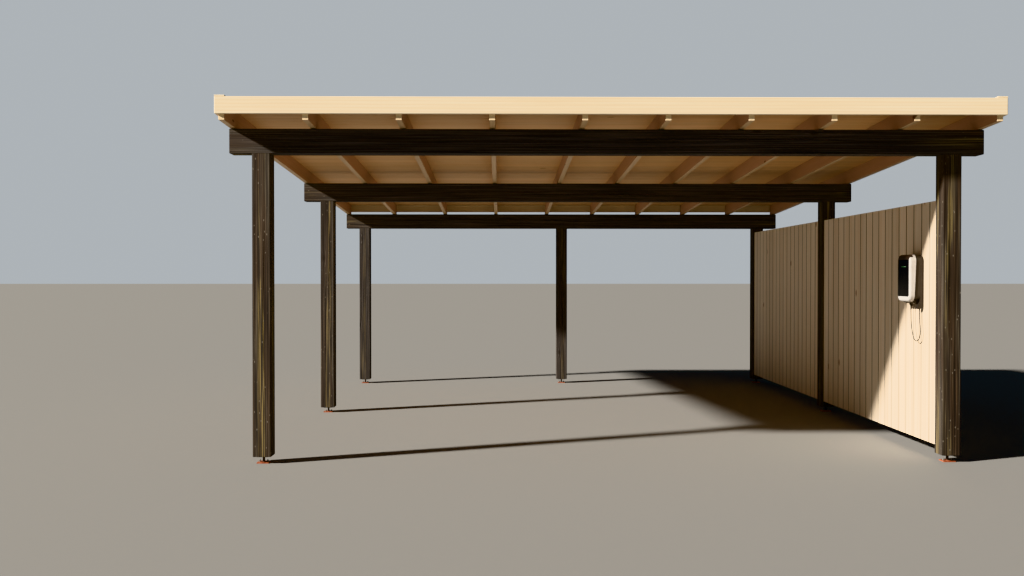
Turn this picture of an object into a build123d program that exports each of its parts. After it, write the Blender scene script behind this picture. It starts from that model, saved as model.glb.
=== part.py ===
"""An open timber carport for two cars, in millimetres.

X runs to the right as seen from the entrance, Y from the entrance to the back, and Z up from
the ground. The origin lies on the ground under the middle of the roof. Seven posts on steel
anchors carry three cross beams. Ten rafters fall to the back over them, with level seats cut
where they cross a beam, and carry a boarded deck with felt. A boarded wall closes the right
side, and a car charger hangs on it.
"""
import os
from math import atan, cos, radians, tan

from build123d import *

os.makedirs("parts", exist_ok=True)

# Posts, in three cross rows
post_side = 145
post_centres = 5500
row_spacing = 3000
row_names = ("front", "middle", "rear")

# Beams, one on each row, running past the outer posts
beam_overhang = 177.5
beam_height = 195
front_beam_top = 2659
arris = 5

# Post anchors
post_clearance = 57
base_side = 95
base_thickness = 8
bolt_spacing = 62
bolt_hole_radius = 5.5
foot_side = 52
foot_height = 14
bar_side = 16
head_side = 90
head_thickness = 6

# Roof timbers, with heights measured plumb
roof_fall = 1 / 20
front_overhang = 300
rafter_width = 45
rafter_height = 145
rafter_spacing = 637
left_gap_count = 1
wide_gap_count = 3
right_gap_count = 5
deck_thickness = 20
felt_thickness = 4
edge_board_thickness = 25
fascia_height = 130
fascia_upstand = 16
rear_fascia_height = 116
cap_width = 77
cap_thickness = 11

# Boarded wall on the right side
wall_recess = 22
wall_bottom = 117
wall_top = 2108
board_thickness = 22
board_width = 157
joint_width = 12
joint_depth = 10
rail_thickness = 45
rail_height = 95
lowest_rail_bottom = 210
highest_rail_top = 2020
rail_count = 3

# Charger on the wall, with depths measured out from the boards
charger_behind_front = 525
cover_bottom = 1277
cover_width = 256
cover_height = 398
cover_corner = 58
cover_edge = 22
cover_depth = 60
panel_width = 230
panel_bottom_margin = 44
panel_corner = 16
panel_depth = 38
housing_width = 234
housing_standoff = 10
housing_depth = 60
housing_margin = 5
housing_corner = 52
seam_lean = 15
chin_width = 164
chin_height = 48
chin_corner = 18
chin_toe = 10
chin_toe_rise = 8
chin_bend_out = 46
chin_bend_drop = 18
chin_under_cover = 15
holster_width = 42
holster_depth = 48
holster_drop = 56
holster_rise = 62
bracket_width = 150
bracket_height = 300
bracket_corner = 12

# Charging cable, its gland and the connector parked under the charger
cable_diameter = 9
cable_sides = 14
gland_behind_front = 560
gland_out = 47
gland_nut_radius = 13
gland_nut_drop = 29
gland_boss_radius = 8
gland_boss_drop = 37
plug_behind_front = 430
plug_out = 28
plug_head_radius = 14
plug_head_height = 34
holster_clearance = 0.5
boot_below_holster = 12
boot_height = 30
boot_top_radius = 9.5
boot_tip_radius = 5.5

# Places worked out from the sizes above
roof_depth = 2 * edge_board_thickness + front_overhang + 2 * row_spacing + post_side
front_face = edge_board_thickness + front_overhang - roof_depth / 2
rafter_front = front_face - front_overhang
rafter_rear = front_face + 2 * row_spacing + post_side
fascia_front_face = rafter_front - edge_board_thickness
fascia_rear_face = rafter_rear + edge_board_thickness
row_faces = [front_face + row * row_spacing for row in range(3)]
half_span = post_centres / 2
beam_length = post_centres + post_side + 2 * beam_overhang
half_beam = beam_length / 2
rafter_plumb = rafter_height / cos(atan(roof_fall))
deck_top = rafter_plumb + deck_thickness
fascia_top = deck_top + fascia_upstand
wall_face = half_span - post_side / 2 + wall_recess
bay_clear = row_spacing - post_side


def underside(y):
    """The height of the rafters' underside, which falls evenly to the back."""
    return front_beam_top - (y - front_face) * roof_fall


def beam_top(face):
    """A beam's level top, which meets the rafters' underside at the beam's front edge."""
    return underside(face)


def keep(part, name):
    """Labels a finished piece and writes it to its own file."""
    part.label = name
    export_step(part, f"parts/{name}.step")


def along_roof(start, end, low, high):
    """Draws a side profile along the fall, from low to high above the rafters' underside."""
    Polygon(
        (start, underside(start) + low),
        (end, underside(end) + low),
        (end, underside(end) + high),
        (start, underside(start) + high),
        align=None,
    )


# Post anchors: a bolted base plate, a square bar with a flared foot, and a head plate
def post_anchor(x, y):
    """One anchor, with its base on the ground and its head plate under the post."""
    with BuildPart() as anchor:
        with BuildSketch(Plane((x, y, 0))):
            Rectangle(base_side, base_side)
            with GridLocations(bolt_spacing, 0, 2, 1):
                Circle(bolt_hole_radius, mode=Mode.SUBTRACT)
        extrude(amount=base_thickness)
        with BuildSketch(Plane((x, y, base_thickness))):
            Rectangle(bar_side, foot_side)
        with BuildSketch(Plane((x, y, base_thickness + foot_height))):
            Rectangle(bar_side, bar_side)
        loft()
        with BuildSketch(Plane((x, y, base_thickness))):
            Rectangle(bar_side, bar_side)
        extrude(amount=post_clearance - head_thickness - base_thickness)
        with BuildSketch(Plane((x, y, post_clearance - head_thickness))):
            Rectangle(head_side, head_side)
        extrude(amount=head_thickness)
    return anchor.part


# Posts: square timbers with eased edges, cut level under the beams
def post(x, y, top):
    """One post, standing clear of the ground on its anchor."""
    with BuildPart() as timber:
        with BuildSketch(Plane((x, y, post_clearance))):
            Rectangle(post_side, post_side)
        extrude(amount=top - post_clearance)
        chamfer(timber.edges().filter_by(Axis.Z), arris)
    return timber.part


# Beams: as wide as the posts and longer than the span at both ends
def beam(face):
    """One cross beam, flush with the front and back of its posts."""
    with BuildPart() as timber:
        with BuildSketch(Plane.YZ.offset(-half_beam)):
            with Locations((face + post_side / 2, beam_top(face) - beam_height / 2)):
                Rectangle(post_side, beam_height)
        extrude(amount=beam_length)
        chamfer(timber.edges().filter_by(Axis.X), arris)
    return timber.part


for row, face in zip(row_names, row_faces):
    keep(beam(face), f"beam_{row}")
    places = {"left": -half_span, "right": half_span}
    if row == "rear":
        places["centre"] = 0
    for side, x in places.items():
        centre = face + post_side / 2
        keep(post_anchor(x, centre), f"post_anchor_{row}_{side}")
        keep(post(x, centre, beam_top(face) - beam_height), f"post_{row}_{side}")


# Rafters: plumb ends, and a level seat on each beam that cuts in deeper towards the back
def rafter(x):
    """One rafter, centred on x, with its seats cut to the three beams."""
    outline = [(rafter_front, underside(rafter_front))]
    for face in row_faces:
        back = face + post_side
        outline.append((face, beam_top(face)))
        outline.append((back, beam_top(face)))
        if back < rafter_rear:
            outline.append((back, underside(back)))
    outline.append((rafter_rear, underside(rafter_rear) + rafter_plumb))
    outline.append((rafter_front, underside(rafter_front) + rafter_plumb))
    with BuildPart() as timber:
        with BuildSketch(Plane.YZ.offset(x - rafter_width / 2)):
            Polygon(*outline, align=None)
        extrude(amount=rafter_width)
    return timber.part


outer_rafter = half_beam - rafter_width / 2
regular_width = (left_gap_count + right_gap_count) * rafter_spacing
wide_spacing = (2 * outer_rafter - regular_width) / wide_gap_count
rafter_gaps = [rafter_spacing] * left_gap_count
rafter_gaps += [wide_spacing] * wide_gap_count
rafter_gaps += [rafter_spacing] * right_gap_count
rafter_places = [-outer_rafter]
for gap in rafter_gaps:
    rafter_places.append(rafter_places[-1] + gap)
for number, x in enumerate(rafter_places, start=1):
    keep(rafter(x), f"rafter_{number:02d}")

# Roof deck on the rafters, from end to end of them
with BuildPart() as roof_deck:
    with BuildSketch(Plane.YZ.offset(-half_beam)):
        along_roof(rafter_front, rafter_rear, rafter_plumb, deck_top)
    extrude(amount=beam_length)
keep(roof_deck.part, "roof_deck")

# Fascia across the front, covering the ends of the rafters and of the bargeboards
with BuildPart() as fascia_front:
    with BuildSketch(Plane.YZ.offset(-half_beam - edge_board_thickness)):
        along_roof(fascia_front_face, rafter_front, fascia_top - fascia_height, fascia_top)
    extrude(amount=beam_length + 2 * edge_board_thickness)
keep(fascia_front.part, "fascia_front")

# Fascia across the back, level with the deck so that water runs off over it
with BuildPart() as fascia_rear:
    with BuildSketch(Plane.YZ.offset(-half_beam)):
        along_roof(rafter_rear, fascia_rear_face, deck_top - rear_fascia_height, deck_top)
    extrude(amount=beam_length)
keep(fascia_rear.part, "fascia_rear")

# Roofing felt between the edge caps
felt_half = half_beam + edge_board_thickness - cap_width
with BuildPart() as roof_felt:
    with BuildSketch(Plane.YZ.offset(-felt_half)):
        along_roof(rafter_front, fascia_rear_face, deck_top, deck_top + felt_thickness)
    extrude(amount=2 * felt_half)
keep(roof_felt.part, "roof_felt")


# Bargeboards and the rebated caps that cover them along both sides
def bargeboard(inner):
    """One side board of the roof, with its inner face at the given plane."""
    with BuildPart() as board:
        with BuildSketch(Plane.YZ.offset(inner)):
            along_roof(rafter_front, fascia_rear_face, fascia_top - fascia_height, fascia_top)
        extrude(amount=edge_board_thickness)
    return board.part


def edge_cap(start, block_start):
    """A cap over one bargeboard, with a block inside it that stands on the deck."""
    with BuildPart() as cap:
        with BuildSketch(Plane.YZ.offset(start)):
            along_roof(fascia_front_face, fascia_rear_face, fascia_top, fascia_top + cap_thickness)
        extrude(amount=cap_width)
        with BuildSketch(Plane.YZ.offset(block_start)):
            along_roof(rafter_front, fascia_rear_face, deck_top, fascia_top)
        extrude(amount=cap_width - edge_board_thickness)
    return cap.part


keep(bargeboard(-half_beam - edge_board_thickness), "bargeboard_left")
keep(bargeboard(half_beam), "bargeboard_right")
keep(edge_cap(-half_beam - edge_board_thickness, -half_beam), "edge_cap_left")
keep(edge_cap(felt_half, felt_half), "edge_cap_right")


# Wall boards: upright boards side by side, with a shadow joint between each two
def wall_boards(start):
    """The boards of one bay, which begins at start behind a post."""
    count = round(bay_clear / board_width)
    pitch = bay_clear / count
    middle = (start + bay_clear / 2, (wall_bottom + wall_top) / 2)
    with BuildPart() as boards:
        with BuildSketch(Plane.YZ.offset(wall_face)):
            with Locations(middle):
                Rectangle(bay_clear, wall_top - wall_bottom)
        extrude(amount=board_thickness)
        with BuildSketch(Plane.YZ.offset(wall_face)):
            with Locations(middle):
                with GridLocations(pitch, 0, count - 1, 1):
                    Rectangle(joint_width, wall_top - wall_bottom)
        extrude(amount=joint_depth, mode=Mode.SUBTRACT)
    return boards.part


# Wall rails: level timbers outside the boards, from post to post
def wall_rails(start):
    """The rails of one bay, evenly spaced between the lowest and the highest."""
    low = lowest_rail_bottom + rail_height / 2
    high = highest_rail_top - rail_height / 2
    spacing = (high - low) / (rail_count - 1)
    with BuildPart() as rails:
        with BuildSketch(Plane.YZ.offset(wall_face + board_thickness)):
            with Locations((start + bay_clear / 2, (low + high) / 2)):
                with GridLocations(0, spacing, 1, rail_count):
                    Rectangle(bay_clear, rail_height)
        extrude(amount=rail_thickness)
    return rails.part


for bay, face in zip(("front", "rear"), row_faces):
    keep(wall_boards(face + post_side), f"wall_boards_{bay}")
    keep(wall_rails(face + post_side), f"wall_rails_{bay}")

# The charger's planes: its front view looks out from the boards, its side view along Y. The
# seam between housing and cover leans, so that the cover is thinner at its bottom.
charger_y = front_face + charger_behind_front
charger_origin = (wall_face, charger_y, cover_bottom)
front_view = Plane(origin=charger_origin, x_dir=(0, -1, 0), z_dir=(-1, 0, 0))
side_view = Plane(origin=charger_origin, x_dir=(-1, 0, 0), z_dir=(0, 1, 0))
housing_front = housing_standoff + housing_depth
cover_front = housing_front + cover_depth
seam_low = housing_front + seam_lean
seam_at_corner = seam_low - seam_lean * cover_corner / cover_height
seam = Plane(
    origin=(wall_face - seam_low, charger_y, cover_bottom),
    x_dir=(0, -1, 0),
    z_dir=(-cover_height, 0, seam_lean),
)
housing_height = cover_height - 2 * housing_margin
near_side = housing_width / 2
holster_bottom = cover_bottom - holster_drop
gland_bottom = cover_bottom - gland_boss_drop
gland_place = (wall_face - gland_out, front_face + gland_behind_front)
plug_place = (wall_face - plug_out, front_face + plug_behind_front)

# Housing: a moulded back, a chin that runs down to the wall under the cover, and a holster for
# the connector on the near side
with BuildPart() as housing:
    with BuildSketch(front_view.offset(housing_standoff)):
        with Locations((0, cover_height / 2)):
            RectangleRounded(housing_width, housing_height, housing_corner)
    extrude(amount=housing_depth + 2 * seam_lean)
    split(bisect_by=seam, keep=Keep.BOTTOM)
    with BuildPart(mode=Mode.PRIVATE) as chin:
        with BuildSketch(side_view):
            Polygon(
                (housing_standoff, -chin_height),
                (housing_standoff + chin_toe, chin_toe_rise - chin_height),
                (chin_bend_out, -chin_bend_drop),
                (seam_low + chin_under_cover, 0),
                (seam_low, 0),
                (seam_at_corner, cover_corner),
                (housing_standoff, cover_corner),
                align=None,
            )
        extrude(amount=chin_width / 2, both=True)
        with BuildSketch(front_view):
            with Locations((0, cover_corner - chin_height)):
                RectangleRounded(chin_width, 2 * cover_corner, chin_corner)
        extrude(amount=cover_front, mode=Mode.INTERSECT)
    add(chin.part)
    with BuildPart(mode=Mode.PRIVATE) as holster:
        with BuildSketch(side_view.offset(-near_side)):
            Polygon(
                (housing_standoff, -holster_drop),
                (housing_standoff + holster_depth, -holster_drop),
                (housing_standoff + holster_depth / 2, 0),
                (housing_standoff + holster_depth / 2, holster_rise),
                (housing_standoff, holster_rise),
                align=None,
            )
        extrude(amount=holster_width)
    add(holster.part)
    with BuildSketch(front_view):
        with Locations((0, cover_height / 2)):
            RectangleRounded(bracket_width, bracket_height, bracket_corner)
    extrude(amount=housing_standoff)
    with BuildSketch(Plane((*plug_place, holster_bottom))):
        Circle(plug_head_radius + holster_clearance)
    extrude(amount=plug_head_height, mode=Mode.SUBTRACT)
    with BuildSketch(Plane((*gland_place, cover_bottom - chin_corner / 2))):
        RegularPolygon(gland_nut_radius, 6)
    extrude(amount=chin_corner / 2 - gland_nut_drop)
    with BuildSketch(Plane((*gland_place, cover_bottom - chin_corner / 2))):
        Circle(gland_boss_radius)
    extrude(amount=chin_corner / 2 - gland_boss_drop)
keep(housing.part, "charger_housing")

# Cover: a rounded shell with soft front edges, and the panel set flush in its front, which
# runs up over the top edge
with BuildPart() as cover_block:
    with BuildSketch(front_view.offset(housing_front - seam_lean)):
        with Locations((0, cover_height / 2)):
            RectangleRounded(cover_width, cover_height, cover_corner)
    extrude(amount=cover_depth + seam_lean)
    split(bisect_by=seam, keep=Keep.TOP)
    fillet(cover_block.faces().sort_by(Axis.X)[0].edges(), cover_edge)

with BuildPart() as panel:
    with BuildSketch(front_view.offset(cover_front - panel_depth)):
        with Locations((0, panel_bottom_margin + cover_height / 2)):
            RectangleRounded(panel_width, cover_height, panel_corner)
    extrude(amount=panel_depth)
    add(cover_block.part, mode=Mode.INTERSECT)
keep(panel.part, "charger_panel")

with BuildPart() as cover:
    add(cover_block.part)
    add(panel.part, mode=Mode.SUBTRACT)
keep(cover.part, "charger_cover")

# Connector parked in its holster. The tip of its tapered boot shows below the holster.
plug_profile = Plane(origin=(*plug_place, holster_bottom), x_dir=(1, 0, 0), z_dir=(0, -1, 0))
with BuildPart() as plug:
    with BuildSketch(plug_profile):
        Polygon(
            (0, -boot_below_holster),
            (boot_tip_radius, -boot_below_holster),
            (boot_top_radius, boot_height - boot_below_holster),
            (plug_head_radius, boot_height - boot_below_holster),
            (plug_head_radius, plug_head_height),
            (0, plug_head_height),
            align=None,
        )
    revolve(axis=Axis((*plug_place, holster_bottom), (0, 0, 1)))
keep(plug.part, "charger_plug")

# Cable: an uneven loop from the gland to the connector, as places behind the posts' front
# face, distances out from the boards and heights above the ground. Its section has many small
# flats in place of a circle, which keeps the model light.
cable_places = (
    (gland_behind_front, gland_out, gland_bottom),
    (gland_behind_front, gland_out, 1128),
    (548, 45, 1048),
    (526, 42, 978),
    (482, 38, 941),
    (428, 35, 952),
    (404, 32, 1004),
    (414, 30, 1070),
    (plug_behind_front, plug_out, 1136),
    (plug_behind_front, plug_out, holster_bottom - boot_below_holster),
)
cable_points = [Vector(wall_face - out, front_face + behind, z) for behind, out, z in cable_places]
cable_runs = [end - start for start, end in zip(cable_points, cable_points[1:])]
cable_radii = []
for before, after in zip(cable_runs, cable_runs[1:]):
    half_turn = radians(before.get_angle(after)) / 2
    cable_radii.append(0.45 * min(before.length, after.length) / tan(half_turn))
with BuildPart() as cable:
    with BuildLine() as route:
        FilletPolyline(*cable_points, radius=cable_radii)
    with BuildSketch(Plane(origin=cable_points[0], z_dir=cable_runs[0])):
        RegularPolygon(cable_diameter / 2, cable_sides)
    sweep()
keep(cable.part, "charger_cable")
cable_length = route.wires()[0].length
cable_section = RegularPolygon(cable_diameter / 2, cable_sides).area
print("cable bend radii", [round(radius) for radius in cable_radii])
print("cable runs", [round(run.length) for run in cable_runs])
print("cable length", round(cable_length), "section times length", round(cable_section * cable_length))
print("cable volume", round(cable.part.volume))
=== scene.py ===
# %% [markdown]
# # An open timber carport
# Seven dark-stained posts on steel anchors carry three cross beams, and ten pine rafters fall
# to the back over them under a boarded roof. A boarded wall with a charging unit closes the
# right side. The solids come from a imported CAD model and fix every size. This script gives
# them sawn and planed surfaces, boards, fixings and finishes, with numpy and shader nodes.

# %% Load the frame
from math import radians, tau

import bpy
import numpy as np
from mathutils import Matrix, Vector


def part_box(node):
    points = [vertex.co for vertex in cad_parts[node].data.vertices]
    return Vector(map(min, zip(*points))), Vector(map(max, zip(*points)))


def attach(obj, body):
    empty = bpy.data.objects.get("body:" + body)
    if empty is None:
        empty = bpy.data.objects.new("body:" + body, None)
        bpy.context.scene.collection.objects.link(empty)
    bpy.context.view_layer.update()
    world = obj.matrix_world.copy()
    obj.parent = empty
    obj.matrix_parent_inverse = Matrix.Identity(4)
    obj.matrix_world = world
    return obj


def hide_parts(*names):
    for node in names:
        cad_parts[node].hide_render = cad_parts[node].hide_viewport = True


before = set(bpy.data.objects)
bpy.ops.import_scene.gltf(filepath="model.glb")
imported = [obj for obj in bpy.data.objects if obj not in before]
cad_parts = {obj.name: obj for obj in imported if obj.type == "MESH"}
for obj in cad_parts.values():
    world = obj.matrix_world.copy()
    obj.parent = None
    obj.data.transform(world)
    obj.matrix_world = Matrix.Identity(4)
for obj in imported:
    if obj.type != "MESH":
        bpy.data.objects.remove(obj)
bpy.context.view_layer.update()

# %% [markdown]
# ## The camera
# The eye stands about 7.9 m before the posts at the height of a person, and looks almost level.
# A 35 mm lens is what the vanishing points of the real view ask for. The camera is set first,
# because every later choice is judged through it.

# %% Camera
eye = (-0.8556, -10.8224, 1.4876)
lens_mm = 34.97
turn_right = radians(0.663)
look_down = radians(0.646)
far_clip = 500.0


def placed(name, data):
    """An object that holds the data, linked to the scene at the origin."""
    made = bpy.data.objects.new(name, data)
    bpy.context.scene.collection.objects.link(made)
    return made


camera_data = bpy.data.cameras.new("view")
camera_data.lens = lens_mm
camera_data.clip_end = far_clip
camera = placed("view", camera_data)
camera.location = eye
camera.rotation_euler = (radians(90) - look_down, 0.0, -turn_right)
bpy.context.scene.camera = camera
print("camera at", eye, "with a lens of", lens_mm, "mm")

# %% [markdown]
# ## Helpers for colours and nodes
# Paint charts and photographs give colours as sRGB hex values, but light adds up in linear
# numbers, so one function turns the first into the second. Another adds any shader node with
# its settings and links, which keeps a material short enough to read. Map Range takes its value,
# the range that this comes from and the range that it goes to. A Mix node set for colours takes
# the share on its socket 0 and the two colours on 6 and 7, and gives output 2.

# %% Colours and nodes
as_colours = {"output": 2, "data_type": "RGBA"}
smoothly = {"interpolation_type": "SMOOTHSTEP"}


def linear(hex_colour):
    """The linear red, green, blue and full alpha of an sRGB hex colour, by the sRGB curve."""
    srgb = np.array([int(hex_colour[place:place + 2], 16) for place in (1, 3, 5)]) / 255
    curve = np.where(srgb <= 0.04045, srgb / 12.92, ((srgb + 0.055) / 1.055) ** 2.4)
    return (*curve.tolist(), 1.0)


def feed(tree, sockets, inputs):
    """Links each input that is another node's output, and sets each value or hex colour."""
    for name, value in inputs.items():
        if isinstance(value, bpy.types.NodeSocket):
            tree.links.new(value, sockets[name])
        else:
            sockets[name].default_value = linear(value) if isinstance(value, str) else value


def add(tree, kind, *inputs, output=0, stops=(), **settings):
    """Adds a node with its settings, a ramp's stops and its inputs, and gives one output.

    Inputs go to the first sockets in their order, or are one dictionary by name or number.
    """
    made = tree.nodes.new("ShaderNode" + kind)
    for name, value in settings.items():
        setattr(made, name, value)
    for place, (position, colour) in enumerate(stops):
        elements = made.color_ramp.elements
        stop = elements[place] if place < 2 else elements.new(position)
        stop.position = position
        stop.color = linear(colour)
    named = inputs and isinstance(inputs[0], dict)
    feed(tree, made.inputs, inputs[0] if named else dict(enumerate(inputs)))
    return made.outputs[output]


def shade(material, **sockets):
    """Feeds the named sockets of a material's principled shader, and gives the material."""
    tree = material.node_tree
    inputs = {name.replace("_", " "): value for name, value in sockets.items()}
    feed(tree, tree.nodes["Principled BSDF"].inputs, inputs)
    return material


def new_material(name, **sockets):
    """A material and its node tree, with the constants on the shader's own sockets."""
    material = bpy.data.materials.new(name)
    material.use_nodes = True
    return shade(material, **sockets), material.node_tree


# %% [markdown]
# ## Helpers for bars
# Posts, beams, boards and rails are all one form: a closed section carried along a straight
# path. A bar could be a cube with a bevel, but here the rings of points are one numpy array, so
# a section can open into a drying crack or keep a board's joint while it is carried. Each point
# also keeps its place in the log, across and along the grain, in an attribute called grain. The
# wood materials read it, so the rings run through faces and ends as in one solid log.

# %% Bars from rings
log_start = (5, 50)


def nodes_named(start):
    """The names of the frame's nodes with this start, in order."""
    return sorted(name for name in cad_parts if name.startswith(start))


def corners(node):
    """The lowest and the highest corner of a node, as arrays."""
    return [np.array(corner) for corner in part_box(node)]


def ring_faces(bars, stations, around):
    """Quads between the rings of each bar, and one face over each end, with outward order."""
    index = np.arange(bars * stations * around).reshape(bars, stations, around)
    near, far = index[:, :-1], index[:, 1:]
    quads = np.stack([near, np.roll(near, -1, 2), np.roll(far, -1, 2), far], -1).reshape(-1, 4)
    ends = np.concatenate([index[:, 0, ::-1], index[:, -1]])
    return quads.tolist() + ends.tolist()


def finish_piece(name, points, material, slot, replaced=(), faces=None, crease=18.0, **attributes):
    """Makes a mesh at the origin, shades it smooth up to a crease angle and lets it ride.

    Points without faces are rings. An attribute may be given once for points that share it.
    The crease is small, because a long flat face that shares its normals with its eased edges
    looks bent under a low light.
    """
    mesh = bpy.data.meshes.new(name)
    mesh.from_pydata(points.reshape(-1, 3).tolist(), [], faces or ring_faces(*points.shape[:3]))
    for key, values in attributes.items():
        whole = np.broadcast_to(values, (*points.shape[:-1], values.shape[-1]))
        kind, field = ("FLOAT_VECTOR", "vector") if whole.shape[-1] == 3 else ("FLOAT", "value")
        mesh.attributes.new(key, kind, "POINT").data.foreach_set(field, whole.ravel())
    mesh.shade_smooth()
    mesh.set_sharp_from_angle(angle=radians(crease))
    mesh.materials.append(material)
    piece = placed(name, mesh)
    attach(piece, "root")
    if replaced:
        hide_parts(*replaced)
    print(name, "faces", len(mesh.polygons))
    return piece


def eased_section(width, height, radius, steps=3):
    """Points round a rectangle whose corners are arcs, anticlockwise.

    Each corner is the core's corner plus the radius times a direction, for a few directions.
    """
    signs = np.array([(1, 1), (-1, 1), (-1, -1), (1, -1)])
    angles = np.linspace(0, tau / 4, steps) + np.arange(4)[:, None] * tau / 4
    arc = np.stack([np.cos(angles), np.sin(angles)], -1) * radius
    half = np.stack([np.asarray(width), np.asarray(height)], -1)[..., None, None, :] / 2
    points = signs[:, None] * (half - radius) + arc
    return points.reshape(*points.shape[:-3], 4 * steps, 2)


def carried(section, inner, low, high, axis, inset):
    """Rings of straight bars: the section at both ends, and inner, a smaller one, as the cap.

    The bar runs along the axis from low to high. The section's own two axes follow it in
    cyclic order, so its faces point outwards.
    """
    first, second = (axis + 1) % 3, (axis + 2) % 3
    start, end = low[:, axis], high[:, axis]
    centre = (low + high) / 2
    sections = np.stack([inner, section, section, inner], -3)
    rings = np.zeros((*sections.shape[:-1], 3))
    rings[..., first] = sections[..., 0] + centre[:, first, None, None]
    rings[..., second] = sections[..., 1] + centre[:, second, None, None]
    rings[..., axis] = np.stack([start, start + inset, end - inset, end], -1)[..., None]
    return rings


def grain_of(rings, axis, pith, start):
    """Each point's place in its log: across from the pith, up from the pith, and along."""
    first, second = (axis + 1) % 3, (axis + 2) % 3
    local = rings - rings.mean(axis=(1, 2), keepdims=True)
    return np.stack([local[..., first] - pith[:, 0, None, None],
                     local[..., second] - pith[:, 1, None, None],
                     local[..., axis] + start[:, None, None]], -1)


# %% [markdown]
# ## The solid wood pattern
# A photograph of wood glued to each face would break at every corner. Solid wood is grown here
# as in the tree: rings round a pith, moved about by slow noise, with fibres along the grain and
# knots that point away from the pith. Every timber material starts from these four signals and
# differs in its colours and in how strongly it shows them. Real rings are 2 to 5 mm wide, and
# they are drawn several times as wide so that they still show from eight metres.

# %% Wood signals
slow_stretch = (1.0, 1.0, 0.05)
fibre_stretch = 120
knot_round = 0.16
knot_along = 0.45
knot_reach = 0.05
knot_swell = 0.010


def wood_signals(tree, ring_mm, wander_mm, knot_every, fibre_mm=2.5):
    """Rings, fibres and slow patches from 0 to 1, the distance to a knot, and the log place.

    Ring is the fraction left when the distance from the pith is divided by the ring width.
    Knots are scattered points on an unrolled cylinder round the pith.
    """
    log = add(tree, "Attribute", output="Vector", attribute_name="grain")
    slow = add(tree, "VectorMath", log, slow_stretch, operation="MULTIPLY")
    sway = add(tree, "TexNoise", {"Vector": slow, "Scale": 7.0, "Detail": 2.0}, output="Color")
    sway = add(tree, "VectorMath", sway, (0.5, 0.5, 0.5), operation="SUBTRACT")
    sway = add(tree, "VectorMath", {0: sway, "Scale": wander_mm / 1000}, operation="SCALE")
    bent = add(tree, "VectorMath", log, sway, operation="ADD")
    across, upward, length = (add(tree, "SeparateXYZ", bent, output=axis) for axis in "XYZ")
    flat = add(tree, "CombineXYZ", across, upward)
    radius = add(tree, "VectorMath", flat, output="Value", operation="LENGTH")
    angle = add(tree, "Math", upward, across, operation="ARCTAN2")

    turn = add(tree, "Math", angle, knot_round / knot_every, operation="MULTIPLY")
    step = add(tree, "Math", length, knot_along / knot_every, operation="MULTIPLY")
    unrolled = add(tree, "CombineXYZ", turn, step)
    knot = add(tree, "TexVoronoi", {"Vector": unrolled, "Scale": 1.0}, output="Distance",
               voronoi_dimensions="2D")
    knot = add(tree, "Math", knot, knot_every, operation="MULTIPLY")
    swell = add(tree, "MapRange", knot, 0.0, knot_reach, knot_swell, 0.0, **smoothly)
    radius = add(tree, "Math", radius, swell, operation="ADD")
    ring = add(tree, "Math", radius, ring_mm / 1000, operation="DIVIDE")
    ring = add(tree, "Math", ring, operation="FRACT")

    thin = 1000 / fibre_mm
    finely = (thin, thin, thin / fibre_stretch)
    threads = add(tree, "VectorMath", bent, finely, operation="MULTIPLY")
    fibre = add(tree, "TexNoise", {"Vector": threads, "Scale": 1.0, "Detail": 2.0})
    patch = add(tree, "TexNoise", {"Vector": slow, "Scale": 14.0, "Detail": 4.0, "Roughness": 0.6})
    return ring, fibre, patch, knot, bent


# %% [markdown]
# ## Dark stained timber
# The posts and beams are sawn softwood under a nearly black stain that the weather has worn to
# a grey brown. The stain holds in the soft early wood and rubs off the hard late wood, so bundles
# of ochre and olive lines come through along the middle of the faces. How far a timber is worn
# is an attribute of its points, and it also paints light and shade: the fresh stain is toned as
# in shade and the worn one as in sun. The front posts and the beams' ends get most of the worn
# stain, the middle posts less and the rear posts least, partly as wear and partly as painted
# light at the front and painted shade at the back. A plain brown would look like plastic, so the
# colour is built up in the painter's order: stain, wear, late wood, worn lines, flecks and knots.

# %% Stained timber material
stain_holds_at = 0.042
stain_gone_at = 0.016
flecks_per_metre = (30.0, 30.0, 14.0)


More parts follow.
